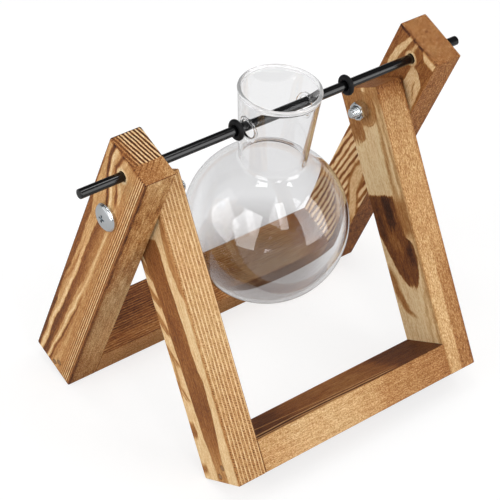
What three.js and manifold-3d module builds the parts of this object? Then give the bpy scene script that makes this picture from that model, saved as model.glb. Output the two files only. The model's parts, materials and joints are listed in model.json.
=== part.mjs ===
// A round glass vase hung from a steel rod across two wooden frames that fold about a pair of bolts.
// Sizes are in millimetres and +Z is up. The origin is on the surface that the stand rests on,
// under the middle of the whole object. X runs along the rod, and -Y is the front.

import * as THREE from 'three';
import { mergeVertices } from 'three/addons/utils/BufferGeometryUtils.js';
import Module from 'manifold-3d';

const wasm = await Module();
wasm.setup();

// Wooden stock
const STOCK_WIDTH = 26;
const STOCK_THICKNESS = 15;
const EDGE_EASE = 0.7;

// Outer frame, which carries the rod
const OUTER_FRAME_WIDTH = 170;
const OUTER_LEG_ABOVE_PIVOT = 37;
const OUTER_LEG_BELOW_PIVOT = 115.5;
const ROD_ABOVE_PIVOT = 27.5;

// Inner frame, which folds inside the outer one
const INNER_LEG_ABOVE_PIVOT = 10;
const INNER_LEG_BELOW_PIVOT = 126.5;

// Angle between the two frames as the stand is set up
const SPREAD_DEG = 50.4;

// Running clearance round what turns, slides or is cut by its neighbour
const CLEARANCE = 0.3;

// Pivot bolts with their nuts, and the spacer washers between the legs
const BOLT_RADIUS = 2.5;
const BOLT_HEAD_RADIUS = 6.3;
const BOLT_HEAD_HEIGHT = 3.2;
const BOLT_HEAD_RIM = 1.3;
const BOLT_TAIL = 3.3;
const RECESS_LENGTH = 4;
const RECESS_WIDTH = 1.1;
const RECESS_DEPTH = 1.8;
const NUT_ACROSS_FLATS = 8;
const NUT_THICKNESS = 4;
const SPACER_RADIUS = 5;
const SPACER_THICKNESS = 0.8;

// Brads: distance up from the leg's lower end and back from its front edge
const BRAD_SHANK_RADIUS = 0.6;
const BRAD_HEAD_RADIUS = 1.1;
const BRAD_HEAD_THICKNESS = 0.6;
const BRAD_LENGTH = 30;
const OUTER_BRADS = { lower: [2.6, 12.3], upper: [5.6, 9.7] };
const INNER_BRADS = { lower: [2.8, 13], upper: [7.3, 9.4] };

// Rod and the rubber rings on it
const ROD_RADIUS = 2.1;
const ROD_LEFT_OVERHANG = 20.9;
const ROD_RIGHT_OVERHANG = 12.1;
const ROD_END_EASE = 0.5;
const RING_SECTION_RADIUS = 1.15;
const LEFT_RING_GAP = 4.2;
const RIGHT_RING_GAP = 20;

// Glass vase; heights are measured from the rod's axis
const VASE_OFFSET = -5.4;
const GLASS_WALL = 1.2;
const BULB_RADIUS = 36.4;
const BULB_BELOW_ROD = 57.4;
const NECK_BASE_RADIUS = 14.6;
const NECK_TOP_RADIUS = 17.7;
const RIM_ABOVE_ROD = 11.9;
const RIM_BEAD_RADIUS = 0.85;
const NECK_FILLET = 2.5;
const NECK_HOLE_RADIUS = 4.2;

// Facets
const BORE_SIDES = 24;
const SMALL_SIDES = 12;
const RING_SIDES = 8;
const GLASS_SIDES = 40;
const BULB_STEPS = 12;
const FILLET_STEPS = 3;
const BEAD_STEPS = 7;
const DOME_STEPS = 5;
const EASE_STEPS = 2;

// Sizes that follow from the ones above
const HALF_WIDTH = STOCK_WIDTH / 2;
const OUTER_FACE = OUTER_FRAME_WIDTH / 2;
const FRAME_GAP = SPACER_THICKNESS + CLEARANCE;
const INNER_FACE = OUTER_FACE - STOCK_THICKNESS - FRAME_GAP;
const NUT_SEAT = INNER_FACE - STOCK_THICKNESS - CLEARANCE;
const BOLT_LENGTH = OUTER_FACE - NUT_SEAT + NUT_THICKNESS + BOLT_TAIL;
const PIVOT_BORE_RADIUS = BOLT_RADIUS + CLEARANCE;
const ROD_BORE_RADIUS = ROD_RADIUS + CLEARANCE;
const NECK_BASE_HEIGHT = Math.sqrt(BULB_RADIUS ** 2 - NECK_BASE_RADIUS ** 2) - BULB_BELOW_ROD;
const SPREAD = THREE.MathUtils.degToRad(SPREAD_DEG);
const OUTER_LEAN = outerLean();
const INNER_LEAN = SPREAD - OUTER_LEAN;

// The outer frame's lean from upright that sets the lowest edges of both frames on one level.
function outerLean() {
  const outer = OUTER_LEG_BELOW_PIVOT - EDGE_EASE;
  const inner = INNER_LEG_BELOW_PIVOT - EDGE_EASE;
  const half = HALF_WIDTH - EDGE_EASE;
  const rise = outer - inner * Math.cos(SPREAD) - half * Math.sin(SPREAD);
  const run = inner * Math.sin(SPREAD) - half - half * Math.cos(SPREAD);
  return Math.atan2(rise, run);
}

const WOOD_OUTER = new THREE.MeshStandardMaterial({ color: 0xb0804f, roughness: 0.62, metalness: 0 });
const WOOD_INNER = new THREE.MeshStandardMaterial({ color: 0xb98b5e, roughness: 0.62, metalness: 0 });
const ZINC = new THREE.MeshStandardMaterial({ color: 0xc9ccd0, roughness: 0.28, metalness: 1 });
const BRAD_STEEL = new THREE.MeshStandardMaterial({ color: 0x4a4038, roughness: 0.5, metalness: 1 });
const BLACK_STEEL = new THREE.MeshStandardMaterial({ color: 0x17171a, roughness: 0.35, metalness: 0.6 });
const RUBBER = new THREE.MeshStandardMaterial({ color: 0x0d0d0e, roughness: 0.8, metalness: 0 });
const GLASS = new THREE.MeshStandardMaterial({
  color: 0xe6eaec,
  roughness: 0.03,
  metalness: 0,
  transparent: true,
  opacity: 0.35,
});

// A closed geometry as a solid that can be cut and joined.
function solid(geometry) {
  const bare = geometry.clone();
  bare.deleteAttribute('normal');
  bare.deleteAttribute('uv');
  const merged = mergeVertices(bare, 1e-4);
  const vertProperties = new Float32Array(merged.attributes.position.array);
  const triVerts = new Uint32Array(merged.index.array);
  return new wasm.Manifold(new wasm.Mesh({ numProp: 3, vertProperties, triVerts }));
}

// A cut or joined solid as a geometry again.
function fromSolid(manifold) {
  const mesh = manifold.getMesh();
  const geometry = new THREE.BufferGeometry();
  geometry.setAttribute('position', new THREE.BufferAttribute(mesh.vertProperties, 3));
  geometry.setIndex(new THREE.BufferAttribute(mesh.triVerts, 1));
  return geometry;
}

function cut(geometry, tools) {
  const body = tools.reduce((rest, tool) => rest.subtract(solid(tool)), solid(geometry));
  return fromSolid(body);
}

function named(name, geometry, material) {
  const mesh = new THREE.Mesh(geometry, material.clone());
  mesh.name = name;
  return mesh;
}

// A body of revolution about X. The profile lists [radius, distance along the axis]; inward is the
// way along X, +1 or -1, that the distance runs.
function turned(profile, sides, inward = 1) {
  const points = profile.map(([radius, along]) => new THREE.Vector2(radius, along));
  return new THREE.LatheGeometry(points, sides).rotateZ((-inward * Math.PI) / 2);
}

function cylinder(radius, from, to, sides, inward = 1) {
  return turned([[0, from], [radius, from], [radius, to], [0, to]], sides, inward);
}

// Rounded rectangle centred on the origin.
function easedRectangle(width, height) {
  const x = width / 2 - EDGE_EASE;
  const y = height / 2 - EDGE_EASE;
  const shape = new THREE.Shape();
  shape.absarc(x, y, EDGE_EASE, 0, Math.PI / 2);
  shape.absarc(-x, y, EDGE_EASE, Math.PI / 2, Math.PI);
  shape.absarc(-x, -y, EDGE_EASE, Math.PI, 1.5 * Math.PI);
  shape.absarc(x, -y, EDGE_EASE, 1.5 * Math.PI, 2 * Math.PI);
  shape.closePath();
  return shape;
}

// Leg blank standing on its lower end at z = -below, with all its edges eased.
function legBlank(below, above) {
  const blank = new THREE.ExtrudeGeometry(easedRectangle(STOCK_THICKNESS, STOCK_WIDTH), {
    depth: below + above - 2 * EDGE_EASE,
    curveSegments: EASE_STEPS,
    bevelEnabled: true,
    bevelThickness: EDGE_EASE,
    bevelSize: EDGE_EASE / 2,
    bevelOffset: -EDGE_EASE / 2,
    bevelSegments: EASE_STEPS,
  });
  return blank.translate(0, 0, EDGE_EASE - below);
}

// Clearance holes for a leg's brads, through the leg and on into the end of the rail.
function bradHoles(brads, below, face, side) {
  return Object.values(brads).flatMap(([up, back]) => {
    const start = -CLEARANCE;
    const headDepth = BRAD_HEAD_THICKNESS + CLEARANCE;
    const head = cylinder(BRAD_HEAD_RADIUS + CLEARANCE, start, headDepth, SMALL_SIDES, -side);
    const tip = BRAD_LENGTH + CLEARANCE;
    const shank = cylinder(BRAD_SHANK_RADIUS + CLEARANCE, start, tip, SMALL_SIDES, -side);
    return [head, shank].map((tool) => tool.translate(side * face, back - HALF_WIDTH, up - below));
  });
}

// side is -1 for the left leg and +1 for the right; face is how far out its outer face lies.
function leg(name, side, face, below, above, brads, material, bores) {
  const middle = side * (face - STOCK_THICKNESS / 2);
  const blank = legBlank(below, above).translate(middle, 0, 0);
  const reach = face + STOCK_THICKNESS;
  const tools = bores.map(([radius, up]) => {
    return cylinder(radius, 0, reach, BORE_SIDES, side).translate(0, 0, up);
  });
  return named(name, cut(blank, [...tools, ...bradHoles(brads, below, face, side)]), material);
}

function rail(name, face, below, brads, material) {
  const length = 2 * (face - STOCK_THICKNESS);
  const bar = new THREE.ExtrudeGeometry(easedRectangle(STOCK_THICKNESS, STOCK_WIDTH), {
    depth: length,
    curveSegments: EASE_STEPS,
    bevelEnabled: false,
  });
  bar.translate(0, 0, -length / 2).rotateY(Math.PI / 2).translate(0, 0, STOCK_THICKNESS / 2 - below);
  const holes = [-1, 1].flatMap((side) => bradHoles(brads, below, face, side));
  return named(name, cut(bar, holes), material);
}

function brad(name, [up, back], below, face, side) {
  const point = BRAD_LENGTH - 3 * BRAD_SHANK_RADIUS;
  const profile = [
    [0, 0],
    [BRAD_HEAD_RADIUS, 0],
    [BRAD_HEAD_RADIUS, BRAD_HEAD_THICKNESS / 2],
    [BRAD_SHANK_RADIUS, BRAD_HEAD_THICKNESS],
    [BRAD_SHANK_RADIUS, point],
    [0, BRAD_LENGTH],
  ];
  const geometry = turned(profile, SMALL_SIDES, -side);
  return named(name, geometry.translate(side * face, back - HALF_WIDTH, up - below), BRAD_STEEL);
}

// Two legs nailed to the ends of a rail, in the frame's own axes: Z up the legs, pivot at the origin.
function woodenFrame(prefix, face, below, above, brads, material, bores) {
  const frame = new THREE.Group();
  for (const [word, side] of [['left', -1], ['right', 1]]) {
    frame.add(leg(`${prefix}_${word}_leg`, side, face, below, above, brads, material, bores));
    for (const [level, place] of Object.entries(brads)) {
      frame.add(brad(`${prefix}_${word}_${level}_brad`, place, below, face, side));
    }
  }
  frame.add(rail(`${prefix}_rail`, face, below, brads, material));
  return frame;
}

// Low domed screw with a cross recess, its head's underside at the outer leg's face.
function pivotBolt(word, side) {
  const cap = BOLT_HEAD_HEIGHT - BOLT_HEAD_RIM;
  const curve = (BOLT_HEAD_RADIUS ** 2 + cap ** 2) / (2 * cap);
  const sweep = Math.asin(BOLT_HEAD_RADIUS / curve);
  const profile = [];
  for (let i = 0; i <= DOME_STEPS; i += 1) {
    const angle = (sweep * i) / DOME_STEPS;
    profile.push([curve * Math.sin(angle), curve * (1 - Math.cos(angle)) - BOLT_HEAD_HEIGHT]);
  }
  const bevel = BOLT_RADIUS / 5;
  profile.push([BOLT_HEAD_RADIUS, 0], [BOLT_RADIUS, 0], [BOLT_RADIUS, BOLT_LENGTH - bevel]);
  profile.push([BOLT_RADIUS - bevel, BOLT_LENGTH], [0, BOLT_LENGTH]);
  const recess = -side * (RECESS_DEPTH / 2 - BOLT_HEAD_HEIGHT);
  const slots = [[RECESS_LENGTH, RECESS_WIDTH], [RECESS_WIDTH, RECESS_LENGTH]].map(([wide, tall]) => {
    return new THREE.BoxGeometry(RECESS_DEPTH, wide, tall).translate(recess, 0, 0);
  });
  const geometry = cut(turned(profile, BORE_SIDES, -side), slots);
  return named(`${word}_pivot_bolt`, geometry.translate(side * OUTER_FACE, 0, 0), ZINC);
}

// Flat ring on the bolt between the outer leg's inner face and the inner leg.
function spacerWasher(word, side) {
  const bevel = SPACER_THICKNESS / 8;
  const profile = [
    [PIVOT_BORE_RADIUS, 0],
    [SPACER_RADIUS - bevel, 0],
    [SPACER_RADIUS, bevel],
    [SPACER_RADIUS, SPACER_THICKNESS - bevel],
    [SPACER_RADIUS - bevel, SPACER_THICKNESS],
    [PIVOT_BORE_RADIUS, SPACER_THICKNESS],
    [PIVOT_BORE_RADIUS, 0],
  ];
  const seat = side * (OUTER_FACE - STOCK_THICKNESS);
  return named(`${word}_spacer_washer`, turned(profile, BORE_SIDES, -side).translate(seat, 0, 0), ZINC);
}

// Hexagon prism whose corners are turned off at both faces.
function pivotNut(word, side) {
  const corner = NUT_ACROSS_FLATS / 2 / Math.cos(Math.PI / 6);
  const flat = NUT_ACROSS_FLATS / 2;
  const slope = (corner - flat) * Math.tan(Math.PI / 6);
  const prism = cylinder(corner, 0, NUT_THICKNESS, 6, -side);
  const turning = turned([
    [0, 0],
    [flat, 0],
    [corner, slope],
    [corner, NUT_THICKNESS - slope],
    [flat, NUT_THICKNESS],
    [0, NUT_THICKNESS],
  ], BORE_SIDES, -side);
  const bore = cylinder(PIVOT_BORE_RADIUS, -CLEARANCE, NUT_THICKNESS + CLEARANCE, BORE_SIDES, -side);
  const body = solid(prism).intersect(solid(turning)).subtract(solid(bore));
  return named(`${word}_pivot_nut`, fromSolid(body).translate(side * NUT_SEAT, 0, 0), ZINC);
}

function pivotHardware(word, side) {
  const set = new THREE.Group();
  set.add(pivotBolt(word, side));
  set.add(spacerWasher(word, side));
  set.add(pivotNut(word, side));
  return set;
}

function hangingRod() {
  const left = -OUTER_FACE - ROD_LEFT_OVERHANG;
  const right = OUTER_FACE + ROD_RIGHT_OVERHANG;
  const profile = [
    [0, left],
    [ROD_RADIUS - ROD_END_EASE, left],
    [ROD_RADIUS, left + ROD_END_EASE],
    [ROD_RADIUS, right - ROD_END_EASE],
    [ROD_RADIUS - ROD_END_EASE, right],
    [0, right],
  ];
  return named('hanging_rod', turned(profile, BORE_SIDES), BLACK_STEEL);
}

// The neck's outer surface as [radius, height] at a share of the way up from its base.
function neckPoint(share) {
  const radius = NECK_BASE_RADIUS + (NECK_TOP_RADIUS - NECK_BASE_RADIUS) * share;
  return [radius, NECK_BASE_HEIGHT + (RIM_ABOVE_ROD - NECK_BASE_HEIGHT) * share];
}

// Rubber ring on the rod, a stated gap from the neck's wall.
function stopRing(word, side, gap) {
  const share = -NECK_BASE_HEIGHT / (RIM_ABOVE_ROD - NECK_BASE_HEIGHT);
  const neckWall = neckPoint(share)[0];
  const middle = ROD_RADIUS + CLEARANCE + RING_SECTION_RADIUS;
  const ring = new THREE.TorusGeometry(middle, RING_SECTION_RADIUS, RING_SIDES, BORE_SIDES);
  ring.rotateY(Math.PI / 2).translate(VASE_OFFSET + side * (neckWall + gap + RING_SECTION_RADIUS), 0, 0);
  return named(`${word}_stop_ring`, ring, RUBBER);
}

// One surface of the glass from the bulb's lowest point to the top of the neck. depth is how far it
// lies inside the outer surface; the small curve between bulb and neck touches both.
function glassSurface(depth) {
  const flare = Math.atan2(NECK_TOP_RADIUS - NECK_BASE_RADIUS, RIM_ABOVE_ROD - NECK_BASE_HEIGHT);
  const outward = [Math.cos(flare), -Math.sin(flare)];
  const offset = NECK_FILLET / Math.cos(flare);
  const slope = Math.tan(flare);
  // Middle of the small curve: on the neck's line moved outwards, and on a circle about the bulb
  const base = NECK_BASE_RADIUS + offset + slope * (-BULB_BELOW_ROD - NECK_BASE_HEIGHT);
  const reach = BULB_RADIUS + NECK_FILLET;
  const a = 1 + slope ** 2;
  const b = 2 * slope * base;
  const c = base ** 2 - reach ** 2;
  const rise = (-b + Math.sqrt(b ** 2 - 4 * a * c)) / (2 * a);
  const centre = [base + slope * rise, rise - BULB_BELOW_ROD];
  const shoulder = Math.atan2(rise, centre[0]);
  const points = [];
  for (let i = 0; i <= BULB_STEPS; i += 1) {
    const angle = -Math.PI / 2 + ((shoulder + Math.PI / 2) * i) / BULB_STEPS;
    const radius = BULB_RADIUS - depth;
    points.push([i ? radius * Math.cos(angle) : 0, radius * Math.sin(angle) - BULB_BELOW_ROD]);
  }
  const from = shoulder + Math.PI;
  const to = Math.PI - flare;
  for (let i = 1; i <= FILLET_STEPS; i += 1) {
    const angle = from + ((to - from) * i) / FILLET_STEPS;
    const radius = NECK_FILLET + depth;
    points.push([centre[0] + radius * Math.cos(angle), centre[1] + radius * Math.sin(angle)]);
  }
  const top = neckPoint(1);
  return { points, outward, top };
}

// Blown bulb with a flared neck and a thick rounded rim, drilled through for the rod.
function glassVase() {
  const outer = glassSurface(0);
  const inner = glassSurface(GLASS_WALL);
  const [nr, nz] = outer.outward;
  const bead = [outer.top[0] - (nr * GLASS_WALL) / 2, outer.top[1] - (nz * GLASS_WALL) / 2];
  const spring = Math.acos(GLASS_WALL / 2 / RIM_BEAD_RADIUS);
  const rim = [];
  for (let i = 0; i <= BEAD_STEPS; i += 1) {
    const angle = -spring + ((Math.PI + 2 * spring) * i) / BEAD_STEPS;
    const across = RIM_BEAD_RADIUS * Math.cos(angle);
    const up = RIM_BEAD_RADIUS * Math.sin(angle);
    rim.push([bead[0] + across * nr - up * nz, bead[1] + across * nz + up * nr]);
  }
  const profile = [...outer.points, ...rim, ...inner.points.reverse()];
  const points = profile.map(([radius, height]) => new THREE.Vector2(radius, height));
  const blank = new THREE.LatheGeometry(points, GLASS_SIDES).rotateX(Math.PI / 2);
  // The rod bears on the tops of the two holes
  const drop = NECK_HOLE_RADIUS - ROD_BORE_RADIUS;
  const drill = cylinder(NECK_HOLE_RADIUS, -BULB_RADIUS, BULB_RADIUS, BORE_SIDES).translate(0, 0, -drop);
  return named('glass_vase', cut(blank, [drill]).translate(VASE_OFFSET, 0, 0), GLASS);
}

function hangingParts() {
  const parts = new THREE.Group();
  parts.add(hangingRod());
  parts.add(stopRing('left', -1, LEFT_RING_GAP));
  parts.add(stopRing('right', 1, RIGHT_RING_GAP));
  parts.add(glassVase());
  parts.position.set(0, -ROD_ABOVE_PIVOT * Math.sin(OUTER_LEAN), ROD_ABOVE_PIVOT * Math.cos(OUTER_LEAN));
  return parts;
}

function build() {
  const outer = woodenFrame('outer', OUTER_FACE, OUTER_LEG_BELOW_PIVOT, OUTER_LEG_ABOVE_PIVOT,
    OUTER_BRADS, WOOD_OUTER, [[PIVOT_BORE_RADIUS, 0], [ROD_BORE_RADIUS, ROD_ABOVE_PIVOT]]);
  outer.add(pivotHardware('left', -1));
  outer.add(pivotHardware('right', 1));
  outer.rotation.x = OUTER_LEAN;
  const inner = woodenFrame('inner', INNER_FACE, INNER_LEG_BELOW_PIVOT, INNER_LEG_ABOVE_PIVOT,
    INNER_BRADS, WOOD_INNER, [[PIVOT_BORE_RADIUS, 0]]);
  inner.rotation.x = -INNER_LEAN;
  const part = new THREE.Group();
  part.add(outer, inner, hangingParts());
  // Stand it on z = 0 with the middle of its bounds over the origin
  part.updateMatrixWorld(true);
  const bounds = new THREE.Box3().setFromObject(part, true);
  const middle = bounds.getCenter(new THREE.Vector3());
  part.position.set(-middle.x, -middle.y, -bounds.min.z);
  return part;
}

export default build();
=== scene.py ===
import json
import math

import bmesh
import bpy
from mathutils import Matrix, Vector


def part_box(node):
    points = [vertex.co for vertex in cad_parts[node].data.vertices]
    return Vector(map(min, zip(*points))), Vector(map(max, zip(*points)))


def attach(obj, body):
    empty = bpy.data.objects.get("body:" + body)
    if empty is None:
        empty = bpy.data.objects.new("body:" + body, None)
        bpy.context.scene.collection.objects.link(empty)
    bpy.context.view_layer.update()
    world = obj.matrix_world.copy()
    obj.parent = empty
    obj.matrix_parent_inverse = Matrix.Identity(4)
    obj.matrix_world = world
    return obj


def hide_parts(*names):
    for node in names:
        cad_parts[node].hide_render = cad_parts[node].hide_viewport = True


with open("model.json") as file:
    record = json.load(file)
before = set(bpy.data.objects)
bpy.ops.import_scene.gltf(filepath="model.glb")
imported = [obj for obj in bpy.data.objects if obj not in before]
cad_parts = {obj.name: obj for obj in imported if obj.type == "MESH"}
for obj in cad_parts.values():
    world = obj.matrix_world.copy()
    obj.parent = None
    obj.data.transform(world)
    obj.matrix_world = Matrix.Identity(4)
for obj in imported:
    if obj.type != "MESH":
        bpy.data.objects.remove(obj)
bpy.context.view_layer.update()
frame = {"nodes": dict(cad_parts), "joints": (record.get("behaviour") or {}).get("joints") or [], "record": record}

# A glass bulb vase hung from a black rod in a folding stand of flame-browned softwood.
# Everything is in metres, in the frame's axes: X along the rod, -Y to the front, Z up.

MM = 0.001

# Camera, measured from the middle of the pivot axis
CAMERA_FROM_PIVOT = Vector((-0.45888, -0.49358, 0.50069))
CAMERA_RIGHT = Vector((0.77750662, -0.62359081, 0.08135078))
CAMERA_UP = Vector((0.3515384, 0.53823209, 0.76598105))
FOCAL_LENGTH_IN_IMAGES = 1956.8 / 500
SENSOR = 36
CLIP_END = 60

joints = {joint["name"]: joint for joint in frame["joints"]}
mounts = {mount["name"]: mount for mount in frame["record"]["mounts"]}
PIVOT = Vector(joints["frame_fold"]["pos_m"])
ROD = Vector(joints["vase_swing"]["pos_m"])


def lean_of(mount):
    """How far a frame leans from upright, from the outward direction of its rail's underside."""
    axis = mounts[mount]["axis"]
    return math.atan2(axis[1], -axis[2])


OUTER_LEAN = lean_of("outer_rail_underside")
INNER_LEAN = lean_of("inner_rail_underside")


# Shader fields

# Inputs and output of a Mix node for colours
MIX_FIRST, MIX_SECOND, MIX_RESULT = 6, 7, 2
# How much of a normal must point along an axis for a point to lie on that face
FACE_EDGE = (0.55, 0.85)
NOISE_ROUGHNESS = 0.55
NOISE_GAIN = 3.0
# What a seed moves a noise by
BOARD_SHIFT, NOISE_SHIFT = 7.31, 3.17
# A path's heights are kept in a ramp from -20 to 20 mm
PATH_REACH = 20


def new_material(name):
    """Material with its node tree and its shader."""
    material = bpy.data.materials.new(name)
    material.use_nodes = True
    return material, material.node_tree, material.node_tree.nodes["Principled BSDF"]


def set_inputs(node, values):
    for name, value in values.items():
        node.inputs[name].default_value = value


def relief_input(tree, shader, depth, strength):
    """Input for the height of a bump that turns the shader's normal."""
    bump = tree.nodes.new("ShaderNodeBump")
    set_inputs(bump, {"Strength": strength, "Distance": depth})
    tree.links.new(bump.outputs[0], shader.inputs["Normal"])
    return bump.inputs["Height"]


def colour_ramp(tree, socket, stops, interpolation="LINEAR"):
    """Colour read from a list of (place, colour) stops."""
    node = tree.nodes.new("ShaderNodeValToRGB")
    node.color_ramp.interpolation = interpolation
    tree.links.new(socket, node.inputs[0])
    elements = node.color_ramp.elements
    while len(elements) < len(stops):
        elements.new(0.5)
    for element, (place, colour) in zip(elements, stops):
        element.position = place
        element.color = (*colour, 1)
    return node.outputs[0]


def colour_mix(tree, share, first, second, blend="MIX"):
    """Mix of two colours, each a socket or the colour itself."""
    node = tree.nodes.new("ShaderNodeMix")
    node.data_type = "RGBA"
    node.blend_type = blend
    tree.links.new(share, node.inputs["Factor"])
    for place, colour in ((MIX_FIRST, first), (MIX_SECOND, second)):
        if isinstance(colour, tuple):
            node.inputs[place].default_value = (*colour, 1)
        else:
            tree.links.new(colour, node.inputs[place])
    return node.outputs[MIX_RESULT]


class Field:
    """A shader value that adds, multiplies and compares like a number."""

    def __init__(self, tree, socket):
        self.tree = tree
        self.socket = socket

    def apply(self, operation, *others):
        node = self.tree.nodes.new("ShaderNodeMath")
        node.operation = operation
        for place, value in enumerate((self,) + others):
            if isinstance(value, Field):
                self.tree.links.new(value.socket, node.inputs[place])
            else:
                node.inputs[place].default_value = value
        return Field(self.tree, node.outputs[0])

    def __add__(self, other):
        return self.apply("ADD", other)

    def __sub__(self, other):
        return self.apply("SUBTRACT", other)

    def __mul__(self, other):
        return self.apply("MULTIPLY", other)

    def __neg__(self):
        return self * -1

    __radd__ = __add__
    __rmul__ = __mul__

    def __rsub__(self, other):
        return (self * -1) + other

    def abs(self):
        return self.apply("ABSOLUTE")

    def max(self, other):
        return self.apply("MAXIMUM", other)

    def wave(self, period, shift=0.0):
        """Sine of the field with the given period, from -1 to 1."""
        return (self * (2 * math.pi / period) + shift).apply("SINE")

    def step(self, low, high):
        """Smooth step from 0 at low to 1 at high; low may be the larger."""
        node = self.tree.nodes.new("ShaderNodeMapRange")
        node.interpolation_type = "SMOOTHSTEP"
        self.tree.links.new(self.socket, node.inputs["Value"])
        set_inputs(node, {"From Min": min(low, high), "From Max": max(low, high),
                          "To Min": float(low > high), "To Max": float(low <= high)})
        return Field(self.tree, node.outputs["Result"])

    def band(self, middle, half, soft):
        """1 within half of the middle, 0 beyond it, with soft edges."""
        return (self - middle).abs().step(half + soft, half - soft)

    def ramp(self, stops, smooth=True):
        """Value read from a list of (field value, result) stops."""
        low, high = stops[0][0], stops[-1][0]
        scaled = (self - low) * (1 / (high - low))
        greys = [((place - low) / (high - low), (value, value, value)) for place, value in stops]
        return Field(self.tree, colour_ramp(self.tree, scaled.socket, greys, "EASE" if smooth else "LINEAR"))

    def mix(self, other, share):
        """This field where share is 0, the other where it is 1."""
        return self + (other - self) * share


def coordinate(tree, kind, axis):
    """One axis of a place on the surface, or of the direction to it."""
    split = tree.nodes.new("ShaderNodeSeparateXYZ")
    tree.links.new(tree.nodes.new("ShaderNodeTexCoord").outputs[kind], split.inputs[0])
    return Field(tree, split.outputs[axis])


class Board:
    """Coordinates in millimetres on one wooden board, and the noises that its figure is made of."""

    def __init__(self, tree, lean, is_rail, seed):
        self.tree = tree
        self.seed = seed
        up = (0, -math.sin(lean), math.cos(lean))
        back = (0, math.cos(lean), math.sin(lean))
        place = tree.nodes.new("ShaderNodeTexCoord")
        middle = Vector((PIVOT.x, 0, 0))
        across_x = self.along(place.outputs["Object"], (1, 0, 0), middle, 1 / MM)
        across_u = self.along(place.outputs["Object"], up, PIVOT, 1 / MM)
        self.back = self.along(place.outputs["Object"], back, PIVOT, 1 / MM)
        normal_x = self.along(place.outputs["Normal"], (1, 0, 0), Vector(), 1).abs()
        normal_u = self.along(place.outputs["Normal"], up, Vector(), 1).abs()
        normal_back = self.along(place.outputs["Normal"], back, Vector(), 1).abs()
        if is_rail:
            self.length, self.thin = across_x, across_u
            normal_length, normal_thin = normal_x, normal_u
        else:
            self.length, self.thin = across_u, across_x
            normal_length, normal_thin = normal_u, normal_x
        self.on_narrow = normal_back.step(*FACE_EDGE)
        self.on_end = normal_length.step(*FACE_EDGE)
        self.on_wide = normal_thin.step(*FACE_EDGE)

    def along(self, socket, direction, origin, scale):
        """How far a vector socket reaches from the origin in the given direction."""
        node = self.tree.nodes.new("ShaderNodeVectorMath")
        node.operation = "DOT_PRODUCT"
        self.tree.links.new(socket, node.inputs[0])
        node.inputs[1].default_value = direction
        return (Field(self.tree, node.outputs["Value"]) - Vector(direction).dot(origin)) * scale

    def noise(self, long_size, across_size, thin_size=None, detail=2.0, seed=0.0):
        """Noise from about -1 to 1, with its blobs' sizes in millimetres along and across the grain."""
        combine = self.tree.nodes.new("ShaderNodeCombineXYZ")
        sizes = (long_size, across_size, thin_size or across_size)
        shift = self.seed * BOARD_SHIFT + seed * NOISE_SHIFT
        for place, (axis, size) in enumerate(zip((self.length, self.back, self.thin), sizes)):
            part = axis * (1 / size) + shift * (1 + place)
            self.tree.links.new(part.socket, combine.inputs[place])
        node = self.tree.nodes.new("ShaderNodeTexNoise")
        set_inputs(node, {"Scale": 1.0, "Detail": detail, "Roughness": NOISE_ROUGHNESS})
        self.tree.links.new(combine.outputs[0], node.inputs["Vector"])
        return (Field(self.tree, node.outputs[0]) - 0.5) * NOISE_GAIN

    def distance(self, length):
        """Distance on a wide face from the point on the board's middle line at the given length."""
        s = self.length - length
        return (self.back * self.back + s * s).apply("SQRT")

    def path(self, points):
        """Height that follows the given (length, height) points along the board."""
        span = 2 * PATH_REACH
        stops = [(s, (v + PATH_REACH) / span) for s, v in points]
        return self.length.ramp(stops, smooth=False) * span - PATH_REACH

    def streak(self, across, points, half, soft):
        """1 on a line through the points, half as thick to each side."""
        return (across - self.path(points)).band(0, half, soft)

    def above(self, across, points, soft=0.45):
        """1 above the line through the points."""
        return (across - self.path(points)).step(-soft, soft)

    def between(self, across, lower, upper, soft=0.4):
        """1 between the lines through two lists of points."""
        return self.above(across, lower, soft) * (self.path(upper) - across).step(-soft, soft)


# Wood

# Tone 0 is charred and 1 is the palest early wood
PALETTE = [
    (0.00, (0.020, 0.010, 0.007)),
    (0.15, (0.060, 0.022, 0.011)),
    (0.30, (0.144, 0.049, 0.017)),
    (0.42, (0.245, 0.084, 0.022)),
    (0.60, (0.420, 0.190, 0.059)),
    (0.75, (0.590, 0.340, 0.138)),
    (0.88, (0.738, 0.490, 0.242)),
    (1.00, (0.870, 0.670, 0.390)),
]


# Each figure below gives the tone on one kind of face of a board. Places are in millimetres on the board:
# s along a leg from the pivot's axis, v from front to back and x across the stand. Lists of points hold
# (s, v) on a leg and (x, v) on a rail.

# Where the rod passes the outer legs
ROD_ON_LEG = 27.5


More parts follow.
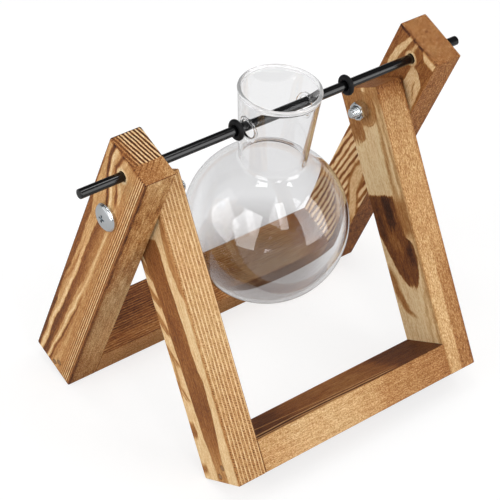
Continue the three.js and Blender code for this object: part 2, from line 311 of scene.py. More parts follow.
def outer_left_wide(b):
    """Long flame figure above a zone of fine, straight growth rings along the front edge."""
    s = b.length
    v = b.back + b.noise(15, 6, 40) * 0.75 + b.noise(6, 2.5, 40, seed=2) * 0.36
    tone = 0.72 + b.noise(30, 1.3, 40, seed=3) * 0.07
    top = [(-116, 10.8), (-80, 10.6), (-62, 11.2), (-48, 10.0), (-28, 9.4), (-6, 9.6), (6, 11.4), (37, 12.6)]
    rusty = s.ramp([(-116, 0.30), (-66, 0.31), (-48, 0.40), (4, 0.41), (37, 0.44)])
    rusty = rusty + b.noise(5, 0.7, 40, seed=9) * 0.07
    tone = tone.mix(rusty, b.above(v, top))
    tone = tone.mix(0.52, b.streak(v, [(-78, 12), (-62, 10.4), (-50, 8.4), (-40, 7.2), (-28, 7.0)], 0.7, 0.6)
                    * s.band(-52, 20, 8) * 0.8)
    tone = tone.mix(0.94, b.streak(v, [(-116, 9.6), (-90, 8.9), (-70, 7.3), (-50, 5.7), (-30, 5.9), (-8, 6.6)],
                                   0.75, 0.5)
                    * s.step(0, -60) * 0.9)
    upper = [(-116, 8.4), (-90, 7.6), (-70, 6.1), (-50, 4.7), (-30, 4.9), (-8, 4.4)]
    band = b.between(v, [(-116, 5.6), (-90, 3.6), (-70, 2.4), (-50, 0.9), (-30, -1.1), (-8, -1.9)], upper, 0.3)
    inner = s.ramp([(-116, 0.30), (-78, 0.31), (-55, 0.39), (-30, 0.41), (-8, 0.37)])
    inner = inner.mix(0.64, (b.path(upper) - v).step(0.8, 5.0) * 0.75)
    tone = tone.mix(inner, band * s.step(-5, -9))
    tone = tone.mix(0.95, b.streak(v, [(-116, 4.8), (-100, 2.8), (-85, 1.5), (-65, 0.2), (-46, -1.6), (-10, -3.0)],
                                   0.45, 0.4) * s.ramp([(-116, 1), (-60, 0.9), (-40, 0.55), (-8, 0.5), (-5, 0)]))
    tone = tone.mix(0.34, b.streak(v, [(-116, 3.1), (-100, 1.2), (-85, -0.3), (-65, -1.8), (-46, -3.2)], 0.55, 0.35)
                    * s.step(-52, -72))
    tone = tone.mix(0.55, b.streak(v, [(-116, 1.9), (-100, 0), (-85, -1.5), (-65, -2.8), (-46, -3.8)], 0.9, 0.8)
                    * s.step(-52, -72) * 0.7)
    right = s.step(4.0, 6.5)
    tone = tone.mix(0.95, b.streak(v, [(4, 0.2), (13, 2.4), (20, 5.9), (28, 7.6), (37, 6.8)], 0.9, 0.5) * right * 0.9)
    tone = tone.mix(0.28, b.streak(v, [(4, 2.6), (12, 4.8), (20, 8.0), (28, 9.5), (37, 9.2)], 0.9, 0.6) * right)
    tone = tone.mix(0.33, b.streak(v, [(8, -1.8), (16, -0.4), (22, 2.9), (28, 4.3), (37, 2.6)], 0.7, 0.6)
                    * s.step(7, 12) * 0.9)
    tone = tone.mix(0.90, b.streak(v, [(10, -3.4), (18, -2.0), (24, 0.8), (31, 1.6), (37, 0.0)], 0.7, 0.6)
                    * s.step(9, 13) * 0.8)
    tone = tone.mix(0.95, b.distance(ROD_ON_LEG).step(4.4, 3.0))
    line = (b.back + b.noise(60, 9, 40, seed=6) * 0.25).wave(1.12)
    comb = 0.62 + line * b.back.step(-4.5, -9) * 0.27 + b.noise(1.3, 0.5, seed=5) * 0.07
    comb = comb + s.step(0, 30) * 0.05
    comb = comb.mix(0.33, b.back.step(-10.9, -12.4) * 0.9) + line.step(0.5, 1) * b.back.step(-10, -12) * 0.16
    tone = tone.mix(comb, (b.back + b.noise(22, 8, seed=8) * 0.5).step(-2.8, -4.2))
    return tone - s.step(35.2, 37) * 0.25 - b.back.step(12.2, 13) * 0.25


def outer_left_narrow(b):
    s, x = b.length, b.thin
    tone = s.ramp([(-116, 0.57), (-104, 0.62), (-80, 0.74), (-45, 0.77), (-15, 0.66), (12, 0.59), (24, 0.64),
                   (37, 0.72)])
    tone = tone - x.step(-80, -85) * 0.10 - x.step(-83.4, -84.6) * 0.26
    mottle = b.noise(7, 2, 3.0, seed=15) * (s.step(-70, -20) * 0.17 + 0.07)
    return tone + b.noise(26, 5, 0.6, seed=16) * 0.08 + mottle


def outer_left_end(b):
    """Strong growth rings across the back half, and a plain half with slanted lines in front."""
    v, x = b.back, b.thin
    rings = (x + v * 0.235 + b.noise(9, 8, 3, seed=5) * 0.3).wave(1.72).step(-0.35, 0.75) * 0.74 + 0.22
    rings = rings.mix(0.42 + b.noise(3, 3, 1, seed=6) * 0.06, x.step(-79.5, -84) * 0.75)
    slant = (x - v * 1.1 + b.noise(6, 6, 4, seed=7) * 0.4).wave(3.1).step(0.3, 1.0) * v.step(-11, -5)
    plain = 0.57 - slant * 0.16 + x.step(-78, -72) * 0.10 + b.noise(2, 2, 2, seed=4) * 0.05
    plain = plain.mix(0.40, b.streak(x, [(-40, -84.2), (80, -84.2)], 0.5, 0.4) * 0.7)
    return rings.mix(plain, v.step(-2.8, -3.6)) - v.step(12.0, 12.9) * 0.3 - v.step(-12.2, -13) * 0.25


def outer_right_wide(b):
    """Zebra grain low down, and broad flames round the rod."""
    s = b.length
    v = b.back + b.noise(7, 4, 40) * 0.55 + b.noise(2.2, 1.6, 40, seed=1) * 0.22
    flow = b.back + s * 0.11 + b.noise(18, 7, 40, seed=3) * 0.8 + b.noise(5, 2, 40, seed=2) * 0.3
    zebra = flow.wave(2.85).step(-0.7, 0.5) * 0.55 + 0.42 + flow.wave(9.3, 1.0) * 0.05
    bend = [(-84, -13), (-72, -9.5), (-62, -4.5), (-50, -3.6), (-42, -6)]
    zebra = zebra.mix(0.48, b.streak(v, bend, 4.2, 0.8) * s.band(-62, 18, 5) * 0.8)
    zebra = zebra.mix(0.92, b.streak(v, bend, 2.6, 0.7) * s.band(-62, 17, 5) * 0.95)
    flame = 0.46 + b.noise(16, 1.4, 40, seed=6) * 0.07
    flame = flame.mix(0.90, b.between(v, [(9, 8.4), (16, 7.2), (26, 5.2), (36, 3.4)],
                                      [(9, 9.2), (16, 10.2), (26, 9.2), (36, 5.4)]) * s.step(8, 12))
    flame = flame.mix(0.86, b.streak(v, [(22, 2.6), (30, 1.4), (37, 0.2)], 0.8, 0.6) * s.step(24, 29) * 0.9)
    flame = flame.mix(0.92, b.between(v, [(4, -12.4), (20, -11.4), (24, -7.6), (27, -3.6)],
                                      [(4, -11.8), (10, -5.6), (14, -1.6), (27, -2.8)], 0.5) * s.step(26.5, 24.5))
    flame = flame.mix(0.52, b.streak(v, [(10, -10.4), (16, -7.8), (22, -6.6)], 0.35, 0.5) * s.band(15, 4, 3))
    flame = flame.mix(0.90, b.between(v, [(30, -13), (37, -13)], [(30, -9), (34, -5.5), (37, -3.6)])
                      * s.step(32, 33.5))
    flame = flame.mix(0.92, b.distance(ROD_ON_LEG).step(4.3, 3.0))
    return zebra.mix(flame, s.step(0, 4)) - s.step(35.4, 36.8) * 0.35


def outer_right_narrow(b):
    s, x = b.length, b.thin
    tone = s.ramp([(-116, 0.42), (-95, 0.34), (-58, 0.38), (-30, 0.47), (0, 0.50), (37, 0.52)])
    tone = tone + b.noise(16, 4, 2, seed=3) * 0.05 + b.noise(3.2, 1, 0.5, seed=7) * 0.04
    return tone - x.step(83, 85) * 0.12


def outer_right_end(b):
    v, x = b.back, b.thin
    rings = (x + v * 0.08 + b.noise(9, 8, 3, seed=5) * 0.2).wave(1.05)
    tone = 0.53 + rings * 0.10 + b.noise(1, 1.1, 0.6, detail=3.0, seed=4) * 0.20
    return tone - x.step(72, 70) * 0.14


def inner_left_wide(b):
    """Cream sapwood with one broad dark band, and short slanted marks along the back edge."""
    s, v = b.length, b.back
    wander = b.noise(9, 30, 40) * 0.4 + b.noise(2.6, 30, 40, seed=1) * 0.16
    w = v + wander
    pale = 0.90 + b.noise(24, 1.8, 40, seed=4) * 0.05
    pale = pale.mix(0.74, s.step(-112, -127) * w.step(-7, -3) * w.step(4, 1))
    for low, high, width in ((-90, -79, 0.8), (-74, -63, 1.0), (-60, -48, 1.5), (-47, -37, 1.7), (-35, -24, 1.6)):
        mark = b.streak(w, [(low, 6.6), ((low + high) / 2, 10.2), (high, 13.6)], width, 0.8)
        inside = s.step(low - 1, low + 1.5) * s.step(high + 2, high - 1)
        pale = pale.mix(0.55, mark * inside)
        edge = b.streak(w, [(low - 1.2, 7.4), ((low + high) / 2 - 1.6, 11.2), (high, 15)], 0.35, 0.35)
        pale = pale.mix(0.44, edge * inside * 0.8)
    pale = pale.mix(0.52, s.band(-121.5, 2.0, 1.8) * w.step(7.6, 9.4))
    pale = pale.mix(0.48, s.band(-103.5, 3.4, 1.6)
                    * b.between(w, [(-110, 9.6), (-104, 8.2), (-96, 10)], [(-110, 14), (-96, 14)]))
    pale = pale.mix(0.60, b.streak(w, [(-92, 13), (-82, 11), (-72, 10.5), (-62, 12)], 0.8, 0.9) * s.band(-78, 12, 5))
    wedge = b.above(-w, [(-46, 13), (-38, 10.4), (-28, 8.6), (-14, 9.0), (-8, 11)])
    pale = pale.mix(0.60 + b.noise(8, 2, 40, seed=9) * 0.06, wedge * s.step(-44, -38))
    pale = pale.mix(0.62, v.step(-11.9, -12.9) * 0.8)
    upper = [(-127, 1.6), (-116, 2.6), (-106, 4.4), (-90, 4.9), (-70, 6.2), (-42, 7.3), (-31, 8.5), (-22, 9.8),
             (-15, 9.8)]
    lower = [(-127, -5.2), (-112, -5.2), (-104, -6.6), (-92, -8.1), (-79, -8.6), (-74, -6.6), (-60, -6.0),
             (-46, -5.2), (-34, -4.0), (-22, -4.7), (-15, -3.6)]
    inside = b.between(w, lower, upper, 0.35) * (s - v * 0.12).step(-15.2, -16.6)
    core = 0.44 + s.step(-100, -122) * 0.17 + b.noise(12, 2.2, 40, seed=3) * 0.045
    core = core - s.band(-90, 4, 5) * 0.05 - s.band(-57, 9, 6) * w.band(2, 3, 3) * 0.06
    core = core + b.noise(30, 0.5, 40, seed=12) * 0.025
    rim = inside * (1 - inside) * 1.2
    return pale.mix(core, inside) - rim * 0.18


def inner_left_narrow(b):
    """Straight cream lines with short slanted dashes between them."""
    s, x = b.length, b.thin
    line = (x + b.noise(70, 20, 6) * 0.2).wave(1.78).step(0.15, 0.85)
    dash = (s + x * 0.75 + b.noise(9, 3, 2, seed=6) * 0.6).wave(1.15).step(0.1, 0.8)
    dash = dash * b.noise(1.6, 2, 0.6, detail=1.0, seed=5).step(-0.35, 0.35) * (1 - line)
    strength = 0.10 + s.step(-60, -100) * 0.07
    tone = s.ramp([(-127, 0.66), (-105, 0.69), (-60, 0.76), (-20, 0.75), (10, 0.70)])
    tone = tone - 0.02 + line * 0.20 - dash * strength * 2.0
    return tone - x.step(-67.8, -68.8) * 0.16 - x.step(-54.9, -54.0) * 0.12


def inner_left_end(b):
    v, x = b.back, b.thin
    return 0.56 + (x - v * 0.3).wave(1.46) * 0.09 + b.noise(1, 1.5, 0.8, seed=4) * 0.06


def inner_right_wide(b):
    """Pale board with one scorched patch that ends square at its upper side."""
    s, v = b.length, b.back
    fine = b.noise(3.0, 1.4, 40, seed=1) * 0.45
    w = v + b.noise(8, 5, 40) * 0.6 + fine
    pale = 0.95 + b.noise(26, 2.0, 40, seed=2) * 0.08
    pale = pale.mix(0.64, b.streak(w, [(-126, -11.4), (-60, -11.8), (-10, -11)], 0.9, 0.9) * 0.8)
    pale = pale.mix(0.68, b.streak(w, [(-46, -7.0), (-30, -6.4), (-12, -8), (6, -7)], 1.3, 1.2) * s.step(-44, -38))
    pale = pale.mix(0.70, b.streak(w, [(-118, -6), (-98, -7.6), (-80, -11)], 1.0, 1.2) * s.step(-76, -90) * 0.6)
    arch = b.streak(w, [(-101, 1), (-96, 6.5), (-88, 9.4), (-78, 11.4), (-70, 14)], 2.2, 1.3)
    pale = pale.mix(0.54, arch * (s + fine * 3).step(-101, -97) * s.step(-73, -80))
    rag = s + b.noise(5, 1.1, 40, seed=15) * 3.0
    rusty = b.above(w, [(-19, 12), (-15.5, 7), (-14, 3.4), (-2, 3.0), (10, -2)], 0.9) * rag.step(-18, -13)
    pale = pale.mix(0.50 + b.noise(9, 1.2, 40, seed=8) * 0.10, rusty * 0.9)
    pale = pale.mix(0.52, s.step(-4, 6) * w.step(-2, -5) * 0.6)
    ring = b.distance(0) + fine * 0.6
    pale = pale.mix(0.58, ring.step(8.6, 7.4) * 0.85)
    pale = pale.mix(0.42, ring.band(8.3, 0.2, 0.5) * v.step(2, -2) * 0.8)
    upper = [(-87, -2.4), (-84, 0.8), (-79, 5.0), (-70, 8.6), (-62, 11.4), (-56, 14), (-40, 14)]
    lower = [(-87, -3.4), (-84, -6.0), (-78, -8.8), (-70, -10.3), (-63, -10.0), (-60.5, -6.6), (-50, -4.7),
             (-40, -4.2)]
    tip = s + b.noise(4.5, 0.9, 40, seed=16) * 2.2
    edge = s + fine + b.noise(4, 0.9, 40, seed=9) * 0.6 + (v - 1).band(0, 0.4, 2.2) * -0.9
    burnt = b.between(w, lower, upper, 0.6) * edge.step(-40.3, -41.6) * tip.step(-86, -83)
    below = b.between(w, [(-66, -12), (-40, -12)], [(-66, -6), (-50, -4), (-40, -4)], 1.0) * s.band(-51, 9, 4)
    pale = pale.mix(0.54, below * 0.9)
    char = 0.36 + b.noise(8, 1.3, 40, seed=4) * 0.10 + b.noise(2.4, 0.7, 40, seed=14) * 0.07
    dark = b.between(w, [(-60, 1), (-54, -1.6), (-40, -1.4)], [(-60, 3.4), (-54, 4.2), (-40, 4.4)], 1.0)
    char = char.mix(0.13, rag.band(-49, 8, 3) * dark)
    char = char.mix(0.17, rag.band(-68, 5, 3) * w.band(-6.6, 2.0, 1.6))
    char = char.mix(0.24, rag.band(-52, 10, 4) * w.band(9.5, 2.2, 2.0))
    char = char.mix(0.52, rag.band(-62, 4.5, 3) * w.band(3.0, 1.5, 2.0)
                    + rag.band(-65, 3, 2) * w.band(-0.6, 0.8, 1.2))
    return pale.mix(char, burnt) - v.step(-12.1, -13) * 0.2


def inner_right_narrow(b):
    s, x = b.length, b.thin
    tone = s.ramp([(-127, 0.67), (-100, 0.72), (-55, 0.71), (-20, 0.71), (0, 0.68), (6, 0.55), (10, 0.42)])
    low = s.step(-62, -85)
    tone = tone - x.step(60.8, 61.6) * low * 0.14 + x.step(61.2, 60.4) * low * 0.07
    tone = tone + b.noise(12, 3, 1.2, seed=3) * 0.045 + b.noise(1.4, 1, 0.5, seed=7) * 0.05
    return tone - x.step(66.8, 68.8) * 0.16 - x.step(55.0, 54.0) * 0.08


def inner_right_end(b):
    return 0.46 + b.noise(1, 4, 1.5, seed=4) * 0.09


def outer_rail_wide(b):
    v, x = b.back, b.length
    line = (v + b.noise(40, 6, 40) * 0.4).wave(1.15)
    tone = 0.37 + v.step(-2, -11) * 0.10 - x.band(-48, 16, 12) * v.step(-4, 2) * 0.06
    tone = tone + x.band(30, 26, 12) * 0.35
    tone = tone + line * 0.10 + b.noise(14, 0.55, 40, seed=3) * 0.15 + b.noise(5, 0.4, 40, seed=4) * 0.07
    return tone - v.step(-11.8, -13) * 0.16


def outer_rail_narrow(b):
    return 0.61 + b.noise(26, 6, 1.2, seed=3) * 0.05


def inner_rail_wide(b):
    """Scorched at both ends, with a comb of pale and dark lines near the front edge."""
    v, x = b.back, b.length
    w = v + b.noise(22, 6, 40) * 0.3
    tone = x.ramp([(-54, 0.27), (-38, 0.31), (-18, 0.47), (5, 0.53), (22, 0.46), (32, 0.30), (46, 0.25), (54, 0.30)])
    tone = tone - 0.03 + b.noise(12, 3, 40, seed=3) * 0.07 + b.noise(16, 0.6, 40, seed=5) * 0.07
    shown = x.step(30, 18)
    for value, points, half, soft, share in (
            (0.70, [(-48, -0.5), (-30, -3.0), (-10, -5.8), (8, -7.6), (26, -9.4)], 0.4, 0.45, shown),
            (0.55, [(-20, 4.4), (-10, 2.2), (4, -0.4), (12, -2.6), (26, -4.8)], 0.35, 0.5, x.band(2, 18, 8) * 0.6),
            (0.78, [(-44, -8.2), (-30, -7.6), (-12, -8.6), (8, -10.2), (26, -11.2)], 0.5, 0.4, shown),
            (0.12, [(-44, -9.5), (-30, -9.0), (-12, -9.9), (8, -11.4), (26, -12.4)], 0.5, 0.4, shown),
            (0.16, [(-44, -6.4), (-12, -7.4), (8, -8.9), (26, -10.3)], 0.35, 0.4, shown * 0.8),
            (0.74, [(-44, -10.9), (-30, -10.4), (-12, -11.3), (8, -12.8)], 0.4, 0.4, x.step(6, -4))):
        tone = tone.mix(value, b.streak(w, points, half, soft) * share)
    return tone.mix(0.72, v.step(-11.8, -12.5) * x.step(14, -8))


def inner_rail_narrow(b):
    x = b.length
    tone = x.ramp([(-54, 0.72), (-46, 0.75), (-30, 0.81), (-5, 0.79), (8, 0.73), (20, 0.63), (45, 0.57), (54, 0.53)])
    speck = b.noise(1.1, 0.6, 0.6, detail=1.0, seed=17).step(0.75, 1.1)
    return tone + b.noise(16, 5, 1.4, seed=3) * 0.04 + b.noise(4, 1, 0.5, seed=7) * 0.05 + speck * 0.16


def rail_end(b):
    return 0.46 + b.noise(3, 1.2, 1.2, seed=4) * 0.07


FIBRE_SIZE = (4.5, 0.42, 0.42)
GRIT_SIZE = (0.95, 0.45, 0.45)
PORE_SIZE = (1.6, 0.34, 0.34)
FIBRE_TONE, PORE_TONE, GRIT_TONE = 0.15, 0.16, 0.14
CORNER_TONE, CORNER_MOTTLE = 0.46, 0.14
BLUSH, BLUSH_MOTTLE = (1.0, 0.82, 0.74), 0.35
WOOD_ROUGHNESS = 0.60
WOOD_SPECULAR = 0.12
WOOD_RELIEF = 0.14 * MM


def wood(name, lean, is_rail, seed, wide, narrow, end, red, rough):
    """Flame-browned softwood, with a figure of its own for the wide, narrow and end faces of a board."""
    material, tree, shader = new_material(name)
    b = Board(tree, lean, is_rail, seed)
    tone = wide(b).mix(narrow(b), b.on_narrow).mix(end(b), b.on_end)
    corner = 1 - b.on_wide.max(b.on_narrow).max(b.on_end)
    fibre = b.noise(*FIBRE_SIZE, detail=2.0, seed=11)
    grit = b.noise(*GRIT_SIZE, detail=3.0, seed=12)
    pore = b.noise(*PORE_SIZE, detail=1.0, seed=18).step(0.45, 1.0)
    side_grain = 1 - b.on_end
    tone = tone + fibre * side_grain * FIBRE_TONE + grit * (b.on_narrow.max(b.on_end) * rough + GRIT_TONE)
    tone = tone - pore * side_grain * PORE_TONE
    tone = tone - corner * (b.noise(9, 3, 3, seed=14) * CORNER_MOTTLE + CORNER_TONE)
    plain = colour_ramp(tree, tone.socket, PALETTE)
    blush = (b.noise(30, 8, 12, seed=13) * BLUSH_MOTTLE + red).max(0.0)
    warm = colour_mix(tree, blush.socket, plain, BLUSH, "MULTIPLY")
    tree.links.new(warm, shader.inputs["Base Color"])
    gloss = WOOD_ROUGHNESS - tone * 0.12 + grit * 0.04
    tree.links.new(gloss.socket, shader.inputs["Roughness"])
    set_inputs(shader, {"Specular IOR Level": WOOD_SPECULAR})
    height = relief_input(tree, shader, WOOD_RELIEF, 1.0)
    relief = fibre * side_grain * 0.5 + grit * 0.35 + tone * 0.8
    tree.links.new(relief.socket, height)
    return material


def dress(node, material):
    target = frame["nodes"][node]
    target.data.materials.clear()
    target.data.materials.append(material)


# Lean, whether it is a rail, seed, figures of the wide, narrow and end faces, reddening, strength of the grit
BOARDS = {
    "outer_left_leg": (OUTER_LEAN, False, 1.0, outer_left_wide, outer_left_narrow, outer_left_end, 0.1, 0.2),
    "outer_right_leg": (OUTER_LEAN, False, 2.0, outer_right_wide, outer_right_narrow, outer_right_end, 0.2, 0.26),
    "outer_rail": (OUTER_LEAN, True, 3.0, outer_rail_wide, outer_rail_narrow, rail_end, 0.1, 0.2),
    "inner_left_leg": (INNER_LEAN, False, 4.0, inner_left_wide, inner_left_narrow, inner_left_end, 0.0, 0.04),
    "inner_right_leg": (INNER_LEAN, False, 5.0, inner_right_wide, inner_right_narrow, inner_right_end, 0.0, 0.16),
    "inner_rail": (INNER_LEAN, True, 6.0, inner_rail_wide, inner_rail_narrow, rail_end, 0.1, 0.17),
}

for node, recipe in BOARDS.items():
    dress(node, wood(node + "_wood", *recipe))


# Plain finishes

FINISH_MOTTLE = 0.1
FINISH_RELIEF = 0.01 * MM
FINISH_RELIEF_STRENGTH = 0.2


def finish(name, colour, roughness, grain, grain_size, metallic=0.0, specular=0.5):
    """One colour broken by a fine grain in roughness and relief."""
    material, tree, shader = new_material(name)
    set_inputs(shader, {"Metallic": metallic, "Specular IOR Level": specular})
    noise = tree.nodes.new("ShaderNodeTexNoise")
    set_inputs(noise, {"Scale": 1 / (grain_size * MM), "Detail": 3})
    tree.links.new(tree.nodes.new("ShaderNodeTexCoord").outputs["Object"], noise.inputs["Vector"])
    speck = Field(tree, noise.outputs[0])
    tree.links.new((speck * grain + (roughness - grain / 2)).socket, shader.inputs["Roughness"])
    dark = tuple(c * (1 - FINISH_MOTTLE) for c in colour)
    light = tuple(c * (1 + FINISH_MOTTLE) for c in colour)
    tree.links.new(colour_mix(tree, noise.outputs[0], dark, light), shader.inputs["Base Color"])
    tree.links.new(noise.outputs[0], relief_input(tree, shader, FINISH_RELIEF, FINISH_RELIEF_STRENGTH))
    return material


zinc = finish("zinc_plate", (0.68, 0.705, 0.72), 0.10, 0.08, 0.9, metallic=1.0)
brad_steel = finish("brad_steel", (0.30, 0.16, 0.07), 0.5, 0.2, 0.5, metallic=0.1, specular=0.25)
black_paint = finish("black_rod", (0.003, 0.003, 0.0035), 0.16, 0.06, 0.6, specular=0.45)
black_rubber = finish("black_rubber", (0.005, 0.005, 0.006), 0.5, 0.15, 0.25, specular=0.2)

# Glass
CLEAR_TINT = (0.925, 0.925, 0.93)
# Painted shade: the bottom of the bulb is tinted grey-brown, standing in for the shadow and dark reflections seen
# through it
PAINTED_SHADE_TINT = (0.42, 0.39, 0.38)
# Heights from the rod's axis, in millimetres, between which the glass turns to the painted shade
PAINTED_SHADE_FROM, PAINTED_SHADE_BELOW = -68, -92
GLASS_IOR = 1.5


def glass(name, clearness):
    """Clear glass with a painted shade at the bottom: a grey-brown tint that stands in for the shadow and dark
    reflections seen through the bulb.
    """
    material, tree, shader = new_material(name)
    height = (coordinate(tree, "Object", "Z") - ROD.z) * (1 / MM)
    # Clear tint, turning to the painted shade towards the bottom of the bulb
    tint_and_painted_shade = colour_mix(tree, height.step(PAINTED_SHADE_FROM, PAINTED_SHADE_BELOW).socket, CLEAR_TINT, PAINTED_SHADE_TINT)
    tree.links.new(tint_and_painted_shade, shader.inputs["Base Color"])
    set_inputs(shader, {"Roughness": 0.0, "IOR": GLASS_IOR, "Transmission Weight": clearness})
    return material


# The melted bead of the rim is slightly milky
clear_glass = glass("clear_glass", 1.0)
milky_glass = glass("milky_glass", 0.6)

for node in frame["nodes"]:
    if "brad" in node:
        dress(node, brad_steel)
    elif "pivot" in node or "spacer" in node:
        dress(node, zinc)
    elif "ring" in node:
        dress(node, black_rubber)
    elif node == "hanging_rod":
        dress(node, black_paint)


# Detailed pieces

def new_object(name, data):
    """Object of the given data, linked into the scene."""
    target = bpy.data.objects.new(name, data)
    bpy.context.scene.collection.objects.link(target)
    return target


def piece(name, verts, faces, material, smooth=True):
    """Object of one new mesh and one material."""
    mesh = bpy.data.meshes.new(name)
    mesh.from_pydata(verts, [], faces)
    mesh.update()
    target = new_object(name, mesh)
    mesh.materials.append(material)
    if smooth:
        mesh.shade_smooth()
    return target


def face_out(target, join_distance=0):
    """Turn the faces outward, after joining the points that lie closer than the given distance."""
    mesh = bmesh.new()
    mesh.from_mesh(target.data)
    if join_distance:
        bmesh.ops.remove_doubles(mesh, verts=mesh.verts, dist=join_distance)
    bmesh.ops.recalc_face_normals(mesh, faces=mesh.faces)
    mesh.to_mesh(target.data)
    mesh.free()


def turned(name, material, profile, sides, place, join_distance=0):
    """Piece whose profile is turned about an axis.
    A profile entry is a (radius, along) pair or gives one for each angle. Entries on the axis close the ends.
    place maps (radius cosine, radius sine, along) to a point."""
    verts, rows = [], []
    for entry in profile:
        if not callable(entry) and entry[0] == 0:
            rows.append([len(verts)] * sides)
            verts.append(place(0, 0, entry[1]))
            continue
        rows.append(list(range(len(verts), len(verts) + sides)))
        for i in range(sides):
            angle = 2 * math.pi * i / sides
            radius, along = entry(angle) if callable(entry) else entry
            verts.append(place(radius * math.cos(angle), radius * math.sin(angle), along))
    faces = []
    for low, high in zip(rows, rows[1:]):
        for i in range(sides):
            j = (i + 1) % sides
            ring = [low[i], low[j], high[j], high[i]]
            face = list(dict.fromkeys(ring))
            if len(face) > 2:
                faces.append(face)
    target = piece(name, verts, faces, material)
    face_out(target, join_distance)
    return target


def arc(centre, radius, start, end, steps, rise=None):
    """(radius, along) points on an arc between two angles in degrees, elliptical if a rise is given."""
    points = []
    for i in range(steps + 1):
        angle = math.radians(start + (end - start) * i / steps)
        points.append((centre[0] + radius * math.cos(angle), centre[1] + (rise or radius) * math.sin(angle)))
    return points


def tube(name, material, path, radii, sides):
    """Closed tube round a closed path of points, with radii away from the path's middle and beside it."""
    verts, faces = [], []
    count = len(path)
    middle = sum(path, Vector()) / count
    for i, point in enumerate(path):
        ahead = (path[(i + 1) % count] - path[i - 1]).normalized()
        out = (Vector(point) - middle).normalized()
        side = ahead.cross(out).normalized()
        out = side.cross(ahead)
        for k in range(sides):
            angle = 2 * math.pi * k / sides
            verts.append(point + out * math.cos(angle) * radii[0] + side * math.sin(angle) * radii[1])
            here, there = i * sides, (i + 1) % count * sides
            faces.append((here + k, here + (k + 1) % sides, there + (k + 1) % sides, there + k))
    target = piece(name, verts, faces, material)
    face_out(target)
    return target


def boolean(target, tool, operation):
    """Cut or join with another piece, which is then dropped."""
    modifier = target.modifiers.new(operation.lower(), "BOOLEAN")
    modifier.operation = operation
    modifier.object = tool
    modifier.solver = "EXACT"
    graph = bpy.context.evaluated_depsgraph_get()
    result = bpy.data.meshes.new_from_object(target.evaluated_get(graph))
    target.modifiers.clear()
    target.data = result
    bpy.data.objects.remove(tool)


def shade(target, sharp_degrees):
    """Smooth shading, but with edges sharper than the given angle kept."""
    target.data.shade_smooth()
    target.data.set_sharp_from_angle(angle=math.radians(sharp_degrees))


def stand_in(target, node, body):
    """The piece replaces a CAD node, which is hidden, and rides on its body."""
    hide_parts(node)
    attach(target, body)


# Pivot hardware and rod: sizes as the part's
HEAD_RADIUS = 6.3 * MM
HEAD_HEIGHT = 3.2 * MM
HEAD_RIM = 1.3 * MM
HEAD_EDGE = 0.35 * MM
HEAD_CORNER = 0.6 * MM
HEAD_CORNER_RISE = 0.5 * MM
HEAD_CORNER_DROP = 0.2 * MM
RECESS_HALF_LENGTH = 2.0 * MM
RECESS_HALF_WIDTH = 0.55 * MM
RECESS_DEPTH = 1.8 * MM
RECESS_TAPER = 0.55
RECESS_START = -0.3 * MM
THREAD_RADIUS = 2.5 * MM
THREAD_DEPTH = 0.5 * MM
THREAD_PITCH = 0.8 * MM
THREAD_LENGTH = 10 * MM
THREAD_FROM_TIP = 0.1 * MM
TIP_EDGE = 0.4 * MM
THREAD_ROWS_PER_TURN = 8
NUT_HALF_FLATS = 4.0 * MM
NUT_CIRCLE = 3.75 * MM
NUT_SLOPE = 0.577
NUT_BORE = 2.75 * MM
NUT_COUNTERSINK = 0.45 * MM
RING_RADII = (1.28 * MM, 1.15 * MM)
RING_MIDDLE = 3.41 * MM
RING_TUBE_SIDES = 24
ROD_RADIUS = 2.1 * MM
ROD_EDGE = 0.4 * MM
ROUND_SIDES = 72
JOIN_DISTANCE = 0.001 * MM
# Angles in degrees above which an edge stays sharp
SHARP_BOLT, SHARP_NUT, SHARP_ROUND = 32, 25, 50


def axis_along_x(origin_x, outward, y, z):
    """Place for a turned piece whose axis is parallel to X and whose along points outward."""
    return lambda a, b, c: (origin_x + outward * c, y + a, z + b)


def thread(start):
    """Rows of a screw thread from the given place outward, whose start is its inner end."""
    def row(along):
        def at(angle):
            turn = (along / THREAD_PITCH - angle / (2 * math.pi)) % 1
            return THREAD_RADIUS - THREAD_DEPTH * (1 - abs(2 * turn - 1)), along
        return at
    count = round(THREAD_LENGTH / THREAD_PITCH * THREAD_ROWS_PER_TURN)
    return [row(start + THREAD_LENGTH * i / count) for i in range(count + 1)]


def recess_arm(place, apex, along_y):
    """Tapered bar that cuts one arm of the cross recess."""
    verts = []
    for depth, share in ((RECESS_START, 1.0), (RECESS_DEPTH, RECESS_TAPER)):
        long, wide = RECESS_HALF_LENGTH * share, RECESS_HALF_WIDTH * share
        half = (long, wide) if along_y else (wide, long)
        for y, z in ((-1, -1), (1, -1), (1, 1), (-1, 1)):
            verts.append(place(y * half[0], z * half[1], apex - depth))
    faces = [(0, 1, 2, 3), (7, 6, 5, 4)] + [(i, i + 4, (i + 1) % 4 + 4, (i + 1) % 4) for i in range(4)]
    arm = piece("recess_arm", verts, faces, zinc, smooth=False)
    face_out(arm)
    return arm


